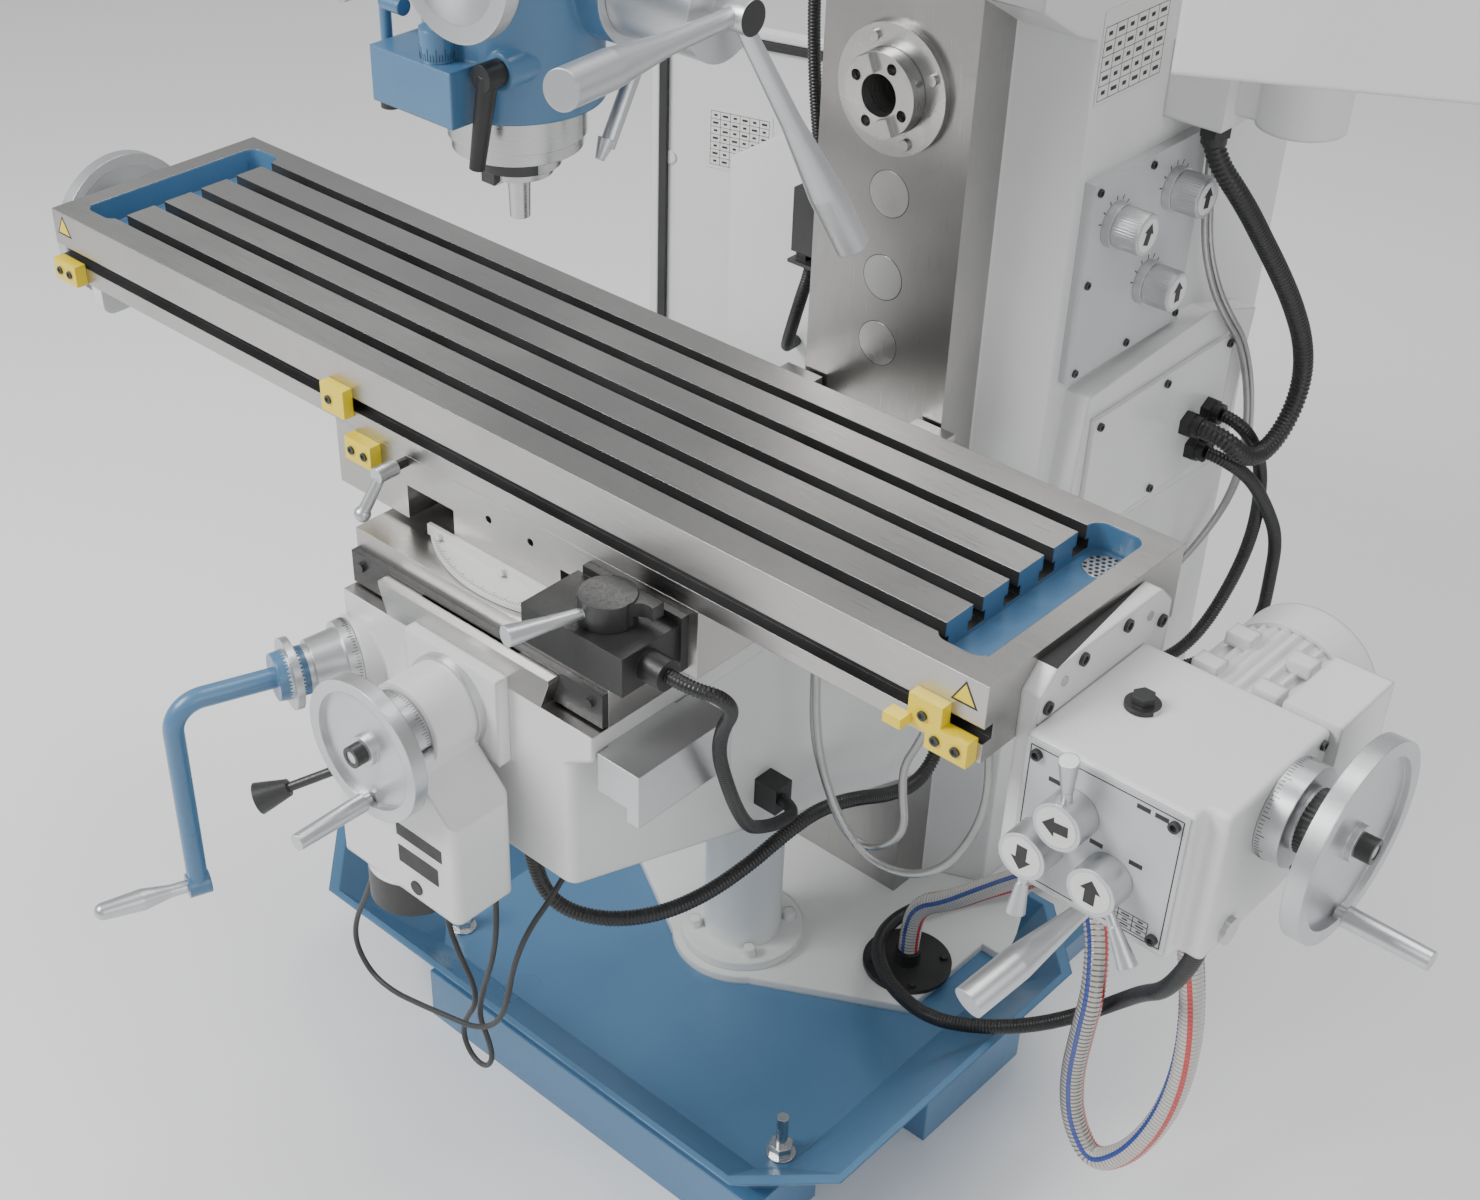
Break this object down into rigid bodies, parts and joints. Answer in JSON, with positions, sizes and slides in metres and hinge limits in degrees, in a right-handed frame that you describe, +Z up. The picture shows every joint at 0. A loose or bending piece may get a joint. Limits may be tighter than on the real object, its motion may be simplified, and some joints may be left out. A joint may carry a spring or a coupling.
{
  "type": "milling machine",
  "caption": "Knee-type universal milling machine: hollow column on a coolant tray, knee, saddle, swivelling slotted table, vertical quill head on a ram and a horizontal spindle.",
  "frame": {"origin": "on the floor, in the middle of the four anchor bolts, straight below the column's front way", "axes": "+X along the table to the right, +Y from the operator to the column, +Z up"},
  "size_m": [1.7692, 1.5529, 1.79],
  "materials": {
    "white_paint": "semi-gloss",
    "blue_paint": "gloss",
    "ground_steel": "ground",
    "dark_steel": "oiled",
    "satin_aluminium": "satin",
    "black_plastic": "matte",
    "yellow_paint": "gloss",
    "grey_panel": "satin",
    "clear_hose": "glossy",
    "scale_white": "satin"
  },
  "bodies": {
    "base": {"base_tray": "blue_paint", "machine_foot": "white_paint", "anchor_bolts": "ground_steel", "screw_housing": "white_paint", "coolant_plate": "black_plastic", "column": "white_paint", "spindle_flange": "ground_steel", "selector_plate": "grey_panel", "side_cover": "white_paint", "electric_cabinet": "white_paint", "limit_switch": "dark_steel", "arm_bracket": "white_paint", "ram": "white_paint", "head_casting": "blue_paint", "coolant_nozzle": "satin_aluminium", "head_motor": "white_paint", "coolant_hose": "clear_hose", "floor_conduit": "black_plastic", "arm_conduit": "black_plastic"},
    "knee_body": {"knee": "white_paint", "scale_cover": "satin_aluminium", "feed_housing": "white_paint", "feed_cable_1": "black_plastic", "feed_cable_2": "black_plastic", "knee_conduit": "black_plastic", "switch_conduit": "black_plastic"},
    "saddle_body": {"saddle": "ground_steel", "wiper_bar": "dark_steel"},
    "swivel": {"swivel_body": "ground_steel", "swivel_scale": "scale_white", "switch_box": "black_plastic"},
    "table_body": {"table": "ground_steel", "end_bracket": "white_paint", "trip_dogs": "yellow_paint", "gearbox": "white_paint", "gearbox_panel": "grey_panel", "table_motor": "white_paint"},
    "table_screw": {"lead_screw": "ground_steel", "handwheel_left": "satin_aluminium", "handwheel_right": "satin_aluminium"},
    "elevating_crank": {"elevating_crank": "blue_paint"},
    "cross_handwheel": {"cross_handwheel": "satin_aluminium"},
    "feed_lever": {"feed_lever": "dark_steel"},
    "quill": {"quill": "ground_steel"},
    "vertical_spindle": {"vertical_spindle": "ground_steel"},
    "quill_levers": {"quill_levers": "satin_aluminium"},
    "fine_feed_wheel": {"fine_feed_wheel": "satin_aluminium"},
    "quill_clamp": {"quill_clamp": "black_plastic"},
    "horizontal_spindle": {"horizontal_spindle": "ground_steel"},
    "speed_knob_1": {"speed_knob_1": "satin_aluminium"},
    "speed_knob_2": {"speed_knob_2": "satin_aluminium"},
    "speed_knob_3": {"speed_knob_3": "satin_aluminium"},
    "cabinet_door": {"cabinet_door": "white_paint"},
    "pendant_arm": {"pendant_arm": "white_paint"},
    "feed_selector_1": {"feed_selector_1": "satin_aluminium"},
    "feed_selector_2": {"feed_selector_2": "satin_aluminium"},
    "feed_selector_3": {"feed_selector_3": "satin_aluminium"},
    "feed_engage_lever": {"feed_engage_lever": "satin_aluminium"},
    "switch_lever": {"switch_lever": "dark_steel"},
    "clamp_lever": {"clamp_lever": "satin_aluminium"}
  },
  "joints": [
    {"name": "knee_slide", "type": "slide", "parent": "base", "child": "knee_body", "axis": [0, 0, 1], "range_m": [-0.2, 0.075], "deforming": ["floor_conduit", "coolant_hose"]},
    {"name": "saddle_slide", "type": "slide", "parent": "knee_body", "child": "saddle_body", "axis": [0, 1, 0], "range_m": [-0.008, 0.19], "deforming": ["switch_conduit"]},
    {"name": "swivel_turn", "type": "hinge", "parent": "saddle_body", "child": "swivel", "pos_m": [0, -0.422, 0.768], "axis": [0, 0, 1], "range_deg": [-30, 30]},
    {"name": "table_slide", "type": "slide", "parent": "swivel", "child": "table_body", "axis": [1, 0, 0], "range_m": [-0.29, 0.45]},
    {"name": "screw_turn", "type": "hinge", "parent": "table_body", "child": "table_screw", "pos_m": [0, -0.422, 0.828], "axis": [1, 0, 0], "range_deg": [-34000, 22000]},
    {"name": "crank_turn", "type": "hinge", "parent": "knee_body", "child": "elevating_crank", "pos_m": [-0.169, -0.634, 0.623], "axis": [-0.3535, -0.9354, 0], "range_deg": [-30000, 12000]},
    {"name": "cross_turn", "type": "hinge", "parent": "knee_body", "child": "cross_handwheel", "pos_m": [0, -0.702, 0.664], "axis": [0, -1, 0], "range_deg": [-1000, 14000]},
    {"name": "feed_lever_turn", "type": "hinge", "parent": "knee_body", "child": "feed_lever", "pos_m": [-0.095, -0.701, 0.562], "axis": [1, 0, 0], "range_deg": [-15, 15]},
    {"name": "quill_slide", "type": "slide", "parent": "base", "child": "quill", "axis": [0, 0, -1], "range_m": [0, 0.12]},
    {"name": "vertical_spindle_turn", "type": "hinge", "parent": "quill", "child": "vertical_spindle", "pos_m": [0, -0.529, 1.18], "axis": [0, 0, 1], "continuous": true},
    {"name": "quill_lever_turn", "type": "hinge", "parent": "base", "child": "quill_levers", "pos_m": [0.15, -0.485, 1.341], "axis": [1, 0, 0], "range_deg": [0, 165]},
    {"name": "fine_feed_turn", "type": "hinge", "parent": "base", "child": "fine_feed_wheel", "pos_m": [0.07, -0.64, 1.392], "axis": [0, -1, 0], "range_deg": [0, 22000]},
    {"name": "quill_clamp_turn", "type": "hinge", "parent": "base", "child": "quill_clamp", "pos_m": [0.052, -0.6, 1.286], "axis": [0, -1, 0], "range_deg": [0, 50]},
    {"name": "horizontal_spindle_turn", "type": "hinge", "parent": "base", "child": "horizontal_spindle", "pos_m": [0, -0.02, 1.095], "axis": [0, 1, 0], "continuous": true},
    {"name": "speed_knob_1_turn", "type": "hinge", "parent": "base", "child": "speed_knob_1", "pos_m": [0.19, 0.155, 0.953], "axis": [1, 0, 0], "continuous": true},
    {"name": "speed_knob_2_turn", "type": "hinge", "parent": "base", "child": "speed_knob_2", "pos_m": [0.19, 0.271, 0.957], "axis": [1, 0, 0], "continuous": true},
    {"name": "speed_knob_3_turn", "type": "hinge", "parent": "base", "child": "speed_knob_3", "pos_m": [0.19, 0.24, 0.857], "axis": [1, 0, 0], "continuous": true},
    {"name": "cabinet_door_swing", "type": "hinge", "parent": "base", "child": "cabinet_door", "pos_m": [-0.339, 0.549, 0.6], "axis": [0, 0, 1], "range_deg": [-20, 75]},
    {"name": "pendant_swing", "type": "hinge", "parent": "base", "child": "pendant_arm", "pos_m": [0.3, 0.3, 1.3], "axis": [0, 0, 1], "range_deg": [-12, 60]},
    {"name": "feed_selector_1_turn", "type": "hinge", "parent": "table_body", "child": "feed_selector_1", "pos_m": [0.6176, -0.54, 0.8192], "axis": [0, 1, 0], "range_deg": [-20, 20]},
    {"name": "feed_selector_2_turn", "type": "hinge", "parent": "table_body", "child": "feed_selector_2", "pos_m": [0.5909, -0.54, 0.7725], "axis": [0, 1, 0], "range_deg": [-20, 20]},
    {"name": "feed_selector_3_turn", "type": "hinge", "parent": "table_body", "child": "feed_selector_3", "pos_m": [0.6557, -0.54, 0.7748], "axis": [0, 1, 0], "range_deg": [-20, 20]},
    {"name": "feed_engage_turn", "type": "hinge", "parent": "table_body", "child": "feed_engage_lever", "pos_m": [0.63, -0.466, 0.71], "axis": [0, 0, 1], "range_deg": [-12, 12]},
    {"name": "switch_lever_turn", "type": "hinge", "parent": "swivel", "child": "switch_lever", "pos_m": [0.176, -0.604, 0.835], "axis": [0, 0, 1], "range_deg": [-20, 20]},
    {"name": "clamp_lever_turn", "type": "hinge", "parent": "swivel", "child": "clamp_lever", "pos_m": [-0.14, -0.59, 0.837], "axis": [0, -1, 0], "range_deg": [-40, 40]}
  ],
  "couplings": [
    {"joint": "screw_turn", "follows": "table_slide", "rad_per_m": -1256.6},
    {"joint": "crank_turn", "follows": "knee_slide", "rad_per_m": 2513.3},
    {"joint": "cross_turn", "follows": "saddle_slide", "rad_per_m": 1256.6},
    {"joint": "quill_lever_turn", "follows": "quill_slide", "rad_per_m": 23},
    {"joint": "fine_feed_turn", "follows": "quill_slide", "rad_per_m": 3141.6}
  ]
}
